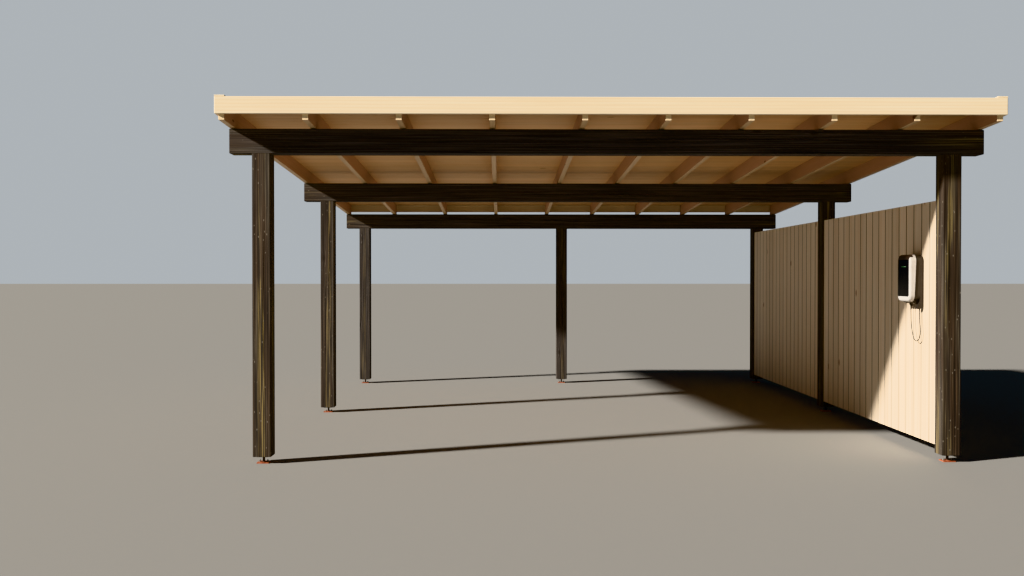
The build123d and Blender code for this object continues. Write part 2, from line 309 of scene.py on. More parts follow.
def stained_timber():
    """Sawn softwood under a dark stain, with a wear attribute that also paints light: from 0,
    fresh stain toned as in shade, to 1, worn stain toned as in sun.
    """
    material, tree = new_material("stained_sawn_timber", Roughness=0.78, IOR=1.45)
    ring, fibre, patch, knot, place = wood_signals(tree, ring_mm=13, wander_mm=20, knot_every=0.6,
                                                   fibre_mm=6)
    # The wear share mixes the fresh stain into the worn one: partly real wear, partly painted
    # light.
    weather = add(tree, "Attribute", output="Fac", attribute_name="weather")
    stain = add(tree, "ValToRGB", fibre,
                stops=((0.38, "#2B2B2D"), (0.50, "#464547"), (0.64, "#646263")))
    grey = add(tree, "ValToRGB", fibre,
               stops=((0.36, "#2F2C2A"), (0.50, "#4B4641"), (0.66, "#70685C")))
    redder = add(tree, "ValToRGB", patch, stops=((0.42, "#BCA79E"), (0.56, "#FFFFFF")))
    grey = add(tree, "Mix", {0: 0.8, 6: grey, 7: redder}, blend_type="MULTIPLY", **as_colours)
    colour = add(tree, "Mix", {0: weather, 6: stain, 7: grey}, **as_colours)
    late = add(tree, "ValToRGB", ring, stops=((0.0, "#FFFFFF"), (0.5, "#E2DCD4"),
                                              (0.9, "#92897F"), (1.0, "#E6E0D8")))
    colour = add(tree, "Mix", {0: 0.8, 6: colour, 7: late}, blend_type="MULTIPLY", **as_colours)
    sides = add(tree, "VectorMath", place, operation="ABSOLUTE")
    across, upward = (add(tree, "SeparateXYZ", sides, output=axis) for axis in "XY")
    middle = add(tree, "Math", across, upward, operation="MINIMUM")
    middle = add(tree, "MapRange", middle, stain_holds_at, stain_gone_at, **smoothly)
    bare = add(tree, "MapRange", patch, 0.47, 0.58, **smoothly)
    line = add(tree, "MapRange", fibre, 0.46, 0.56, **smoothly)
    for share in (middle, line, weather):
        bare = add(tree, "Math", bare, share, operation="MULTIPLY")
    ochre = add(tree, "ValToRGB", ring,
                stops=((0.0, "#80714D"), (0.5, "#927F54"), (1.0, "#675B42")))
    colour = add(tree, "Mix", {0: bare, 6: colour, 7: ochre}, **as_colours)
    spots = add(tree, "VectorMath", place, flecks_per_metre, operation="MULTIPLY")
    fleck = add(tree, "TexVoronoi", {"Vector": spots, "Scale": 1.0}, output="Distance")
    fleck = add(tree, "MapRange", fleck, 0.08, 0.14, 0.4, 0.0)
    fleck = add(tree, "Math", fleck, weather, operation="MULTIPLY")
    colour = add(tree, "Mix", {0: fleck, 6: colour, 7: "#A39A8C"}, **as_colours)
    dark_knot = add(tree, "MapRange", knot, 0.012, 0.022, 0.85, 0.0)
    colour = add(tree, "Mix", {0: dark_knot, 6: colour, 7: "#1E1A17"}, **as_colours)
    height = add(tree, "Math", ring, 0.6, operation="MULTIPLY")
    height = add(tree, "Math", height, fibre, operation="ADD")
    bump = add(tree, "Bump", {"Height": height, "Strength": 0.5, "Distance": 0.002})
    return shade(material, Base_Color=colour, Normal=bump)


stained_wood = stained_timber()
print("made", stained_wood.name)

# %% [markdown]
# ## Bare pine
# Rafters, roof boards, edge boards and wall boards are planed pine. They share one recipe with
# other colours: pale early wood, warmer late wood, small red-brown knots, and a tone of its own
# for each board, which is what makes a boarded surface read as boards. Planed pine is matt to
# the eye, about 0.6 rough, and the index of refraction is that of cellulose and resin. The
# rafters' wood is darker, as painted shade on their wide sides. Their tops and undersides are
# painted half way paler as painted light, and their ends as pale as fresh cut wood, which is
# partly their own colour and partly painted light.

# %% Pine materials
def bare_pine(name, early, late, resin, ring_mm, knot_every, contrast, cut_and_lit=None):
    """Planed pine from three hex colours, with rings, fibres, knots and a tone per board.

    Where a colour for cut and lit faces is given, each face is painted towards it by its share in
    a face attribute: fully on fresh cut ends, partly real colour and partly painted light, and
    half way on the rafters' flat faces as painted light.
    """
    material, tree = new_material(name, Roughness=0.6, IOR=1.5)
    ring, fibre, patch, knot, _ = wood_signals(tree, ring_mm, wander_mm=26, knot_every=knot_every)
    wood = add(tree, "ValToRGB", ring,
               stops=((0.0, early), (0.55, early), (0.9, late), (1.0, early)))
    wood = add(tree, "Mix", {0: contrast, 6: early, 7: wood}, **as_colours)
    cloud = add(tree, "MapRange", patch, 0.35, 0.75, 0.0, 0.45)
    wood = add(tree, "Mix", {0: cloud, 6: wood, 7: late}, **as_colours)
    if cut_and_lit:
        cut_and_lit_share = add(tree, "Attribute", output="Fac", attribute_name="cut_and_lit")
        wood = add(tree, "Mix", {0: cut_and_lit_share, 6: wood, 7: cut_and_lit}, **as_colours)
    thread = add(tree, "MapRange", fibre, 0.3, 0.7, 0.90, 1.04)
    tone = add(tree, "Attribute", output="Fac", attribute_name="tone")
    tone = add(tree, "Math", tone, thread, operation="MULTIPLY")
    wood = add(tree, "VectorMath", {0: wood, "Scale": tone}, operation="SCALE")
    rim = add(tree, "MapRange", knot, 0.020, 0.008, **smoothly)
    wood = add(tree, "Mix", {0: rim, 6: wood, 7: resin}, **as_colours)
    bump = add(tree, "Bump", {"Height": fibre, "Strength": 0.25, "Distance": 0.001})
    return shade(material, Base_Color=wood, Normal=bump)


edge_pine = bare_pine("planed_edge_pine", "#F0E1C4", "#E6CAA0", "#A5683A",
                      ring_mm=26, knot_every=2.2, contrast=0.5)
roof_pine = bare_pine("planed_roof_pine", "#EAC196", "#D4A272", "#7E4A25",
                      ring_mm=18, knot_every=1.1, contrast=0.4)
rafter_pine = bare_pine("planed_rafter_pine", "#C39F89", "#AB866E", "#5E3622",
                        ring_mm=14, knot_every=1.1, contrast=0.4, cut_and_lit="#EBD2AA")
wall_pine = bare_pine("planed_wall_pine", "#F1E2CC", "#E2C8A8", "#8A5530",
                      ring_mm=16, knot_every=1.0, contrast=0.45)
print("made", edge_pine.name, roof_pine.name, rafter_pine.name, wall_pine.name)

# %% [markdown]
# ## Sawn posts and beams
# A square post with the heart of the tree in it always dries open in long cracks, narrow at
# their ends. Each side of the section therefore has three points that open into a wedge where
# its crack is, and close again above and below it. The crack goes inwards only, so the post
# keeps its outer size. Where it lies, and how far it reaches and wanders, are shares of the
# timber's length or of the side's.

# %% Sawn timbers
arris = 0.005
corner_in = arris * (1 - np.sqrt(0.5))
end_ease = 0.0015
heart_aside = 0.02
station_step = 0.06
crack_half_width = 0.0022
crack_depth = 0.012
crack_closed = 0.15
crack_aside = 0.2
crack_wander = 0.06
crack_middles = (0.3, 0.7)
crack_reaches = (0.15, 0.35)
wave_counts = np.array([0.7, 1.6, 3.1])
wave_shares = np.array([0.6, 0.3, 0.1])


def smooth_walk(stations, rng):
    """A slow random curve from -1 to 1: the sum of three sines with random phases, scaled."""
    place = np.linspace(0, 1, stations)[:, None]
    waves = np.sin(tau * place * wave_counts + rng.uniform(0, tau, 3))
    return (waves * wave_shares).sum(axis=1)


def sawn_side(length, stations, rng):
    """One side of the section at each station, as places along the side and depths into it.

    Three neighbouring points follow the crack. Its width and depth grow with the square root
    of one minus the squared distance from the middle of the crack.
    """
    aside = rng.uniform(-crack_aside, crack_aside)
    centre = aside * length + smooth_walk(stations, rng) * crack_wander * length
    middle, reach = rng.uniform(*crack_middles), rng.uniform(*crack_reaches)
    place = np.linspace(0, 1, stations)
    opening = np.sqrt(np.clip(1 - ((place - middle) / reach) ** 2, 0, 1))
    gap = crack_half_width * (crack_closed + opening)
    edge = length / 2 - arris
    along = np.stack([np.full(stations, -edge), (centre - edge) / 2, centre - gap, centre,
                      centre + gap, (centre + edge) / 2, np.full(stations, edge),
                      np.full(stations, length / 2 - corner_in)], -1)
    depth = np.zeros_like(along)
    depth[:, 3] = crack_depth * opening
    depth[:, -1] = corner_in
    return along, depth


def sawn_rings(low, high, axis, rng):
    """Rings of one sawn timber between two corners, with a crack on each side."""
    first, second = (axis + 1) % 3, (axis + 2) % 3
    size = high - low
    middle = (low + high) / 2
    stations = int(size[axis] / station_step) + 4
    sides = []
    for quarter in range(4):
        wide, deep = (second, first) if quarter % 2 == 0 else (first, second)
        along, depth = sawn_side(size[wide], stations, rng)
        angle = quarter * tau / 4
        outward = np.array([np.cos(angle), np.sin(angle)])
        onward = np.array([-np.sin(angle), np.cos(angle)])
        out = size[deep] / 2 - depth
        sides.append(out[..., None] * outward + along[..., None] * onward)
    section = np.concatenate(sides, 1)
    smaller = section * (1 - 2 * end_ease / size[[first, second]])
    section[0], section[-1] = smaller[0], smaller[-1]
    inner = np.linspace(low[axis] + end_ease, high[axis] - end_ease, stations - 2)
    points = np.zeros((*section.shape[:2], 3))
    points[..., [first, second]] = section + middle[[first, second]]
    points[..., axis] = np.concatenate([[low[axis]], inner, [high[axis]]])[:, None]
    return points[None]


def sawn_timber(node, axis, weathered, seed):
    """Dresses one post or beam node with a sawn surface whose heart is near its middle.

    The function given turns each station's distance to the nearer end, in metres, into its wear,
    which is partly painted light.
    """
    rng = np.random.default_rng(seed)
    low, high = corners(node)
    rings = sawn_rings(low, high, axis, rng)
    heart = rng.uniform(-heart_aside, heart_aside, (1, 2))
    grain = grain_of(rings, axis, heart, rng.uniform(*log_start, 1))
    place = rings[..., axis, None]
    weather = weathered(np.minimum(place - low[axis], high[axis] - place))
    return finish_piece(f"{node}_sawn", rings, stained_wood, "stained_timber", (node,),
                        grain=grain, weather=weather)


# Front posts most worn, rear posts least: partly wear, and partly painted light at the front and
# painted shade at the back. The beams' ends are both worn and painted lit.
post_weather = {"front": 1.0, "middle": 0.75, "rear": 0.3}
beam_end_weather = 0.9
beam_end_reach = 0.35
anchors = nodes_named("post_anchor")
posts = [name for name in nodes_named("post_") if name not in anchors]
for seed, name in enumerate(posts, start=11):
    sawn_timber(name, 2, lambda end: np.full_like(end, post_weather[name.split("_")[1]]), seed)
for seed, name in enumerate(nodes_named("beam_"), start=41):
    sawn_timber(name, 0, lambda end: beam_end_weather * np.exp(-(end / beam_end_reach) ** 2), seed)

# %% [markdown]
# ## Everything on the roof's fall
# The roof falls one in twenty to the back, but every board end is cut plumb. So a roof board
# is made level first and then sheared: each point drops by a twentieth of its distance from
# the front. The same shear run backwards turns a node's box into the level box it came from.

# %% The fall
roof_fall = 1 / 20
pith_aside = (-0.04, 0.04)
pith_away = (0.05, 0.12)
posts_front = corners("post_front_left")[0][1]
print("front face of the posts", round(posts_front, 4))


def fallen(points):
    """Drops each point by the fall times its distance behind the posts' front face."""
    moved = points.copy()
    moved[..., 2] -= roof_fall * (points[..., 1] - posts_front)
    return moved


def level_box(node):
    """The level corners from which the shear makes a sloping node."""
    low, high = corners(node)
    top = high[2] + roof_fall * (low[1] - posts_front)
    bottom = low[2] + roof_fall * (high[1] - posts_front)
    return np.array([*low[:2], bottom]), np.array([*high[:2], top])


def planks(name, low, high, axis, material, slot, replaced, seed, ease=0.002, slope=True,
           spread=0.08):
    """Boards between low and high corners, one row each, with eased edges and a tone each."""
    rng = np.random.default_rng(seed)
    width, height = (high - low)[:, [(axis + 1) % 3, (axis + 2) % 3]].T
    section = eased_section(width, height, ease)
    inner = eased_section(width - ease, height - ease, ease)
    rings = carried(section, inner, low, high, axis, ease)
    count = len(low)
    pith = np.stack([rng.uniform(*pith_aside, count), rng.uniform(*pith_away, count)], -1)
    if axis == 1:
        pith = pith[:, ::-1]
    grain = grain_of(rings, axis, pith, rng.uniform(*log_start, count))
    tone = rng.uniform(1 - spread, 1 + spread, (count, 1, 1, 1))
    return finish_piece(name, fallen(rings) if slope else rings, material, slot, replaced,
                        grain=grain, tone=tone)


# %% [markdown]
# ## Edge boards
# A fascia closes the front and the back, bargeboards close the sides, and a cap covers each
# bargeboard. They are the palest and smoothest timber on the carport, and each is one long
# board. A cube would do, but a bar of rings also keeps its place in the log for the grain.

# %% Fascias, bargeboards and caps
cap_thickness = 0.011
edge_thickness = 0.025
edge_spread = 0.03
edge_boards = (("fascia_front", 0, 0.004, 61), ("fascia_rear", 0, 0.004, 62),
               ("bargeboard_left", 1, 0.002, 65), ("bargeboard_right", 1, 0.002, 66))
for name, axis, ease, seed in edge_boards:
    low, high = level_box(name)
    planks(f"{name}_board", low[None], high[None], axis, edge_pine, "fascia_pine", (name,), seed,
           ease=ease, spread=edge_spread)


def edge_cap(node, left, seed):
    """The flat cap over a bargeboard and the block under it, inside the roof's edge."""
    low, high = level_box(node)
    under_cap = high[2] - cap_thickness
    cap_low = np.array([*low[:2], under_cap])
    block_low = low + np.array([edge_thickness * left, edge_thickness, 0.0])
    block_high = np.array([high[0] - edge_thickness * (not left), high[1], under_cap])
    planks(f"{node}_boards", np.stack([cap_low, block_low]), np.stack([high, block_high]), 1,
           edge_pine, "fascia_pine", (node,), seed, spread=edge_spread)


edge_cap("edge_cap_left", True, 71)
edge_cap("edge_cap_right", False, 72)

# %% [markdown]
# ## Rafters
# A rafter is a plank on edge with three level seats cut where it crosses the beams. Its side
# view is an outline of a few points, extruded across its width, and a Bevel modifier eases the
# edges, which is quicker here than rings, because the notches would need a ring each.

# %% Rafters
rafter_ease = 0.0015
rafter_tones = (0.93, 1.07)
rafter_pith_aside = (0.02, 0.09)
rafter_pith_up = (-0.1, 0.1)
flat_face_painted_light = 0.5
rafter_beams = [corners(name) for name in ("beam_front", "beam_middle", "beam_rear")]


def rafter(node, seed):
    """One rafter from its node's box and the beams' tops, with grain along its length."""
    rng = np.random.default_rng(seed)
    low, high = level_box(node)
    outline = [(low[1], low[2])]
    for beam_low, beam_high in rafter_beams:
        seat = beam_high[2] + roof_fall * (beam_high[1] - posts_front)
        outline += [(beam_low[1], low[2]), (beam_high[1], seat)]
        if beam_high[1] < high[1]:
            outline.append((beam_high[1], low[2]))
    outline += [(high[1], (low[2] + high[2]) / 2), (high[1], high[2]), (low[1], high[2])]
    rings = np.zeros((1, 2, len(outline), 3))
    rings[..., 1:] = outline
    rings[0, 0, :, 0], rings[0, 1, :, 0] = low[0], high[0]
    grain = np.stack([rings[..., 0] - low[0] + rng.uniform(*rafter_pith_aside),
                      rings[..., 2] - low[2] + rng.uniform(*rafter_pith_up),
                      rings[..., 1] + rng.uniform(*log_start)], -1)
    piece = finish_piece(f"{node}_planed", fallen(rings), rafter_pine, "planed_pine", (node,),
                         grain=grain, tone=rng.uniform(*rafter_tones, (1, 1)))
    piece.data.shade_flat()
    normals = np.zeros(3 * len(piece.data.polygons))
    piece.data.polygons.foreach_get("normal", normals)
    # The face attribute paints light by face direction: ends fully, tops and undersides half way,
    # while the wide sides keep the darker wood as painted shade.
    _, end, under = np.abs(normals.reshape(-1, 3)).T > 0.5
    layer = piece.data.attributes.new("cut_and_lit", "FLOAT", "FACE")
    layer.data.foreach_set("value", 1.0 * end + flat_face_painted_light * under)
    ease = piece.modifiers.new("eased_edges", "BEVEL")
    ease.width = rafter_ease
    ease.segments = 1
    ease.limit_method = "ANGLE"
    ease.angle_limit = radians(40)
    return piece


rafters = nodes_named("rafter_")
for seed, name in enumerate(rafters, start=81):
    rafter(name, seed)

# %% [markdown]
# ## Roof boards
# From below, the roof is boards that run from side to side over the rafters. Each row is two
# lengths that meet over a rafter, never over the same one as the row before, and the eased
# edges leave the fine joint lines that show between the rafters. An Array modifier would repeat
# one board's knots, so the rows are numpy arrays.

# %% Roof boards
deck_board_width = 0.121
deck_half_joint = 0.00075
deck_ease = 0.003
deck_spread = 0.07
meeting_rafters = (3, 6, 4, 7, 2, 5)


def roof_boards():
    """Rows of boards across the deck, each of two lengths that meet over a rafter."""
    low, high = level_box("roof_deck")
    rows = round((high[1] - low[1]) / deck_board_width)
    edges = np.linspace(low[1], high[1], rows + 1)
    middles = np.mean([corners(name) for name in rafters], axis=1)[:, 0]
    meet = np.resize(middles[list(meeting_rafters)], rows)
    lows, highs = np.zeros((2, rows, 2, 3))
    lows[..., 1] = edges[:-1, None] + deck_half_joint
    highs[..., 1] = edges[1:, None] - deck_half_joint
    lows[..., 2], highs[..., 2] = low[2], high[2]
    lows[:, 0, 0], highs[:, 0, 0] = low[0], meet - deck_half_joint
    lows[:, 1, 0], highs[:, 1, 0] = meet + deck_half_joint, high[0]
    return planks("roof_boards", lows.reshape(-1, 3), highs.reshape(-1, 3), 0, roof_pine,
                  "planed_pine", ("roof_deck",), 101, ease=deck_ease, spread=deck_spread)


roof_boards()

# %% [markdown]
# ## Roofing felt
# The top never shows from the front, but a roof like this is felted: mineral-faced sheets a
# metre wide, laid across the fall from the eaves up, each lapping over the one below. The laps
# are real steps in the profile, with a finger's width of black bitumen pressed out at the foot
# of each, and the granules are a fine speckle in the material.

# %% Felt
felt_width = 0.93
felt_lap = 0.002
lap_edge = 0.001
bleed_width = 0.012
bleed_end = 0.0156
felt_stations = 25


def felt_material():
    """Bitumen felt with slate granules: rough, dark grey, washed paler in slow patches."""
    material, tree = new_material("mineral_felt", Roughness=0.92, IOR=1.55)
    place = add(tree, "TexCoord", output="Object")
    grit = add(tree, "TexNoise", {"Vector": place, "Scale": 260.0, "Detail": 2.0})
    wash = add(tree, "TexNoise", {"Vector": place, "Scale": 4.0, "Detail": 5.0, "Roughness": 0.65})
    colour = add(tree, "ValToRGB", grit,
                 stops=((0.35, "#26272A"), (0.5, "#3B3D40"), (0.68, "#62656A")))
    fade = add(tree, "MapRange", wash, 0.42, 0.75, 0.0, 0.22)
    colour = add(tree, "Mix", {0: fade, 6: colour, 7: "#6A6B68"}, **as_colours)
    bleed = add(tree, "Attribute", output="Fac", attribute_name="bleed")
    colour = add(tree, "Mix", {0: bleed, 6: colour, 7: "#121315"}, **as_colours)
    bump = add(tree, "Bump", {"Height": grit, "Strength": 0.6, "Distance": 0.0015})
    return shade(material, Base_Color=colour, Normal=bump)


def roof_felt():
    """The felt's side view: level sheets that step down at each lap, carried across the roof.

    Each sheet has four points: its start, where the bitumen ends and where it has faded, all a
    lap lower than its far edge. Bleed is one from the first to the second and zero after them.
    """
    low, high = level_box("roof_felt")
    sheets = round((high[1] - low[1]) / felt_width)
    laps = np.linspace(low[1], high[1], sheets + 1)
    near, far = laps[:-1], laps[1:]
    along = np.stack([near, near + bleed_width, near + bleed_end, far - lap_edge], -1)
    above = high[2] - felt_lap * np.array([1.0, 1.0, 1.0, 0.0])
    top = np.stack(np.broadcast_arrays(along, above), -1).reshape(-1, 2)
    side = np.concatenate([[(low[1], low[2]), (high[1], low[2])], top[::-1]])
    bled = np.concatenate([[0.0, 0.0], np.tile([1.0, 1.0, 0.0, 0.0], sheets)[::-1]])
    rings = np.zeros((1, felt_stations, len(side), 3))
    rings[..., 1:] = side
    rings[..., 0] = np.linspace(low[0], high[0], felt_stations)[:, None]
    return finish_piece("roof_felt_sheets", fallen(rings), felt_material(), "roofing_felt",
                        ("roof_felt",), bleed=bled[:, None])


roof_felt()

# %% [markdown]
# ## The boarded wall
# Eighteen upright boards fill each bay. They are lapped in their thickness, so that only a dark
# joint shows between two of them, and they are nailed through that joint, which is why no
# nail shows on their faces. One section with the joint's two shoulders is carried up them all.
# The joint is cut deeper than in the solids, and its sides and floor are painted darker the
# deeper they lie in it, as painted shade in the recess.

# %% Wall boards
board_width = 0.157
joint_width = 0.012
joint_depth = 0.017
joint_shade_tones = (0.22, 0.06)
board_tones = (0.92, 1.06)
board_pith_away = (0.04, 0.10)
board_ease = 0.002
lap_gap = 0.0004


def lapped_section(width, thickness):
    """A board's section, with a shoulder beside each half joint and eased edges."""
    half, face, back = width / 2, -thickness / 2, thickness / 2
    side, shoulder = half - joint_width / 2, face + joint_depth
    hidden = half - lap_gap / 2
    return np.array([(-side, shoulder), (-side, face + board_ease), (-side + board_ease, face),
                     (side - board_ease, face), (side, face + board_ease), (side, shoulder),
                     (hidden, shoulder), (hidden, back - board_ease), (hidden - board_ease, back),
                     (board_ease - hidden, back), (-hidden, back - board_ease),
                     (-hidden, shoulder)])


def wall_boards(node, seed):
    """All boards of one bay, each with its own tone and its own place in the log."""
    rng = np.random.default_rng(seed)
    low, high = corners(node)
    count = round((high[1] - low[1]) / board_width)
    width, thickness = (high[1] - low[1]) / count, high[0] - low[0]
    section = lapped_section(width, thickness)
    centres = low[1] + width * (np.arange(count) + 0.5)
    rings = np.zeros((count, 2, len(section), 3))
    rings[..., 0] = section[:, 1] + (low[0] + high[0]) / 2
    rings[..., 1] = -section[:, 0] + centres[:, None, None]
    rings[:, 0, :, 2], rings[:, 1, :, 2] = low[2], high[2]
    pith = np.stack([rng.uniform(*board_pith_away, count), rng.uniform(*pith_aside, count)], -1)
    grain = grain_of(rings, 2, pith, rng.uniform(*log_start, count))
    depth = section[:, 1] + thickness / 2
    # Painted shade: the tone falls from the board's face to the joint's sides and floor.
    sides, floor = joint_shade_tones
    recess_shade = np.interp(depth, (0, board_ease, joint_depth, thickness - board_ease, thickness),
                      (1.0, sides, floor, sides, 1.0))
    tone = rng.uniform(*board_tones, (count, 1, 1, 1)) * recess_shade[:, None]
    return finish_piece(f"{node}_planed", rings, wall_pine, "wall_pine", (node,), grain=grain,
                        tone=tone)


wall_boards("wall_boards_front", 121)
wall_boards("wall_boards_rear", 122)

# %% [markdown]
# ## Wall rails
# Three rails a bay run from post to post behind the boards. They only show from outside, so
# the planks' own function does for them.

# %% Rails
rail_height = 0.095
rail_count = 3


def wall_rails(node, seed):
    """Three level rails, evenly spaced between the lowest and the highest."""
    low, high = corners(node)
    bottoms = np.linspace(low[2], high[2] - rail_height, rail_count)
    lows = np.tile(low, (rail_count, 1))
    highs = np.tile(high, (rail_count, 1))
    lows[:, 2], highs[:, 2] = bottoms, bottoms + rail_height
    planks(f"{node}_planed", lows, highs, 1, roof_pine, "planed_pine", (node,), seed, slope=False)


wall_rails("wall_rails_front", 131)
wall_rails("wall_rails_rear", 132)

# %% [markdown]
# ## Turned and six-sided small parts
# Washers, nuts, studs, the cable's strain relief and the connector are all one profile turned
# round an upright axis. With six points round the axis the same function gives a nut. The parts
# of one fixing are joined into one mesh, so that a fixing is one piece.

# %% Turned parts
round_crease = 35.0


def turned(profile, centres, around):
    """Rings round upright axes: each profile point is a radius and a height over the centre."""
    angles = np.arange(around) * tau / around
    circle = np.stack([np.cos(angles), np.sin(angles), np.zeros(around)], -1)
    radius, height = np.array(profile).T[..., None, None]
    rings = radius * circle + height * np.array([0.0, 0.0, 1.0])
    return np.asarray(centres, float)[:, None, None] + rings


def round_piece(name, groups, material, slot, replaced=()):
    """Joins turned parts into one piece, whose many sides are shaded as one round surface."""
    points, faces, total = [], [], 0
    for rings in groups:
        points.append(rings.reshape(-1, 3))
        faces += [[corner + total for corner in face] for face in ring_faces(*rings.shape[:3])]
        total += len(points[-1])
    return finish_piece(name, np.concatenate(points), material, slot, replaced, faces,
                        round_crease)


def ribbed(bottom, top, low_radius, high_radius, ribs=6, rib_height=0.0006):
    """A tapered profile whose radius also rises and falls in square ribs."""
    place = np.linspace(0, 1, 4 * ribs + 1)
    rib = np.where(np.arange(len(place)) % 4 < 2, 0.0, rib_height)
    radius = low_radius + (high_radius - low_radius) * place - rib_height + rib
    return np.stack([radius, bottom + (top - bottom) * place], -1)


# %% [markdown]
# ## Anchor bolts
# Each base plate is held down by two 10 mm studs with a washer and a nut. They are zinc-plated
# steel, so they are metallic, rather rough, and a little blotched where the weather reaches.
# Threads would never be seen, so each is a plain turned profile.

# %% Anchor fixings
plate_top = 0.008
bolt_spacing = 0.062
washer = ((0.0096, 0.0), (0.0100, 0.0004), (0.0100, 0.0016), (0.0096, 0.0020))
nut = ((0.0086, 0.0020), (0.0098, 0.0027), (0.0098, 0.0093), (0.0086, 0.0100))
stud = ((0.0050, 0.0100), (0.0050, 0.0170), (0.0042, 0.0180))


def zinc_plate():
    """Electroplated zinc on steel: metallic, roughness 0.45, greyer where it has dulled."""
    material, tree = new_material("zinc_plated_steel", Metallic=1.0)
    place = add(tree, "TexCoord", output="Object")
    dull = add(tree, "TexNoise", {"Vector": place, "Scale": 180.0, "Detail": 3.0})
    colour = add(tree, "ValToRGB", dull, stops=((0.35, "#8E8B84"), (0.65, "#C4C3BD")))
    rough = add(tree, "MapRange", dull, 0.0, 1.0, 0.35, 0.6)
    return shade(material, Base_Color=colour, Roughness=rough)


zinc = zinc_plate()
for name in anchors:
    middle = np.mean(corners(name), axis=0)
    places = [(middle[0] + side * bolt_spacing / 2, middle[1], plate_top) for side in (-1, 1)]
    round_piece(f"{name}_bolts", (turned(washer, places, 24), turned(nut, places, 6),
                                  turned(stud, places, 16)), zinc, "primed_steel")

# %% [markdown]
# ## The charging cable
# The cable is a fixed 0.63 m of 9 mm rubber lead between the gland and the parked connector. A
# NURBS curve with fewer control points than a polyline needs gives one smooth hanging loop.
# Places are behind the posts' front face, out from the boards and above the ground.

# %% Cable
wall_face = corners("wall_boards_front")[0][0]
cable_diameter = 0.009
cable_places_mm = (
    (560, 47, 1240),
    (560, 47, 1128),
    (548, 45, 1048),
    (526, 42, 978),
    (482, 38, 941),
    (428, 35, 952),
    (404, 32, 1004),
    (414, 30, 1070),
    (430, 28, 1136),
    (430, 28, 1209),
)
behind, out, above = np.array(cable_places_mm).T / 1000
cable_points = np.stack([wall_face - out, posts_front + behind, above, np.ones(len(above))], -1)

cable_curve = bpy.data.curves.new("charger_lead", "CURVE")
cable_curve.dimensions = "3D"
cable_curve.bevel_depth = cable_diameter / 2
cable_curve.bevel_resolution = 4
cable_curve.resolution_u = 16
cable_curve.use_fill_caps = True
spline = cable_curve.splines.new("NURBS")
spline.points.add(len(cable_points) - 1)
spline.points.foreach_set("co", cable_points.ravel())
spline.order_u = 3
spline.use_endpoint_u = True


def cable_rubber():
    """Black rubber sheath, roughness 0.55, with faint grey scuffs a few millimetres long."""
    material, tree = new_material("rubber_sheath", Roughness=0.55, IOR=1.52)
    place = add(tree, "TexCoord", output="Object")
    scuff = add(tree, "TexNoise", {"Vector": place, "Scale": 120.0, "Detail": 3.0})
    colour = add(tree, "ValToRGB", scuff, stops=((0.4, "#2A2622"), (0.7, "#4A4339")))
    return shade(material, Base_Color=colour)


lead_rubber = cable_rubber()
cable_curve.materials.append(lead_rubber)
gland_end, boot_end = cable_points[0, :3], cable_points[-1, :3]
relief_profile = ribbed(bottom=-0.034, top=0.0, low_radius=0.0056, high_radius=0.0078)
relief = round_piece("strain_relief", (turned(relief_profile, [gland_end], 24),), lead_rubber,
                     "cable_rubber")
boot_profile = ribbed(bottom=0.0, top=0.0295, low_radius=0.0054, high_radius=0.0092)
connector_profile = np.concatenate([boot_profile, [(0.0138, 0.0302), (0.0138, 0.0455)]])
connector = round_piece("parked_connector", (turned(connector_profile, [boot_end], 32),),
                        lead_rubber, "plug_rubber", ("charger_plug",))
cable = placed("charger_lead", cable_curve)
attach(cable, "root")
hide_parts("charger_cable")
print("cable control points", len(cable_points))

# %% [markdown]
# ## Finishes of the kept nodes
# Some CAD nodes already have their true shape: the steel anchors and the charger's body. They
# only need a finish, which goes into their material slots. The moulded parts have the fine
# spark-eroded texture of their mould, which breaks up their highlights, and the panel is smooth.

# %% Finishes
primer_top = (0.0095, 0.0105)
satin_reflection_start = (1.631, 1.632)


def primed_steel():
    """Black oxide steel, roughness 0.6, dipped in orange-red primer up to the base plate's top."""
    material, tree = new_material("red_primed_steel", Roughness=0.6, IOR=1.5)
    place = add(tree, "TexCoord", output="Object")
    blotch = add(tree, "TexNoise", {"Vector": place, "Scale": 60.0, "Detail": 4.0})
    primed = add(tree, "ValToRGB", blotch,
                 stops=((0.35, "#80442E"), (0.55, "#9F5A40"), (0.75, "#B27357")))
    black = add(tree, "ValToRGB", blotch, stops=((0.35, "#2A2725"), (0.7, "#4A3A32")))
    above = add(tree, "SeparateXYZ", place, output="Z")
    dry = add(tree, "MapRange", above, *primer_top)
    colour = add(tree, "Mix", {0: dry, 6: primed, 7: black}, **as_colours)
    return shade(material, Base_Color=colour)


def moulded_plastic(name, new_colour, worn_colour, roughness):
    """Moulded plastic with a spark-eroded texture of 1 mm, and slow wear towards one tone."""
    material, tree = new_material(name, Roughness=roughness, IOR=1.46)
    place = add(tree, "TexCoord", output="Object")
    spark = add(tree, "TexNoise", {"Vector": place, "Scale": 900.0, "Detail": 1.0})
    wear = add(tree, "TexNoise", {"Vector": place, "Scale": 12.0, "Detail": 3.0})
    wear = add(tree, "MapRange", wear, 0.4, 0.7)
    colour = add(tree, "Mix", {0: wear, 6: new_colour, 7: worn_colour}, **as_colours)
    bump = add(tree, "Bump", {"Height": spark, "Strength": 0.2, "Distance": 0.0004})
    return shade(material, Base_Color=colour, Normal=bump)


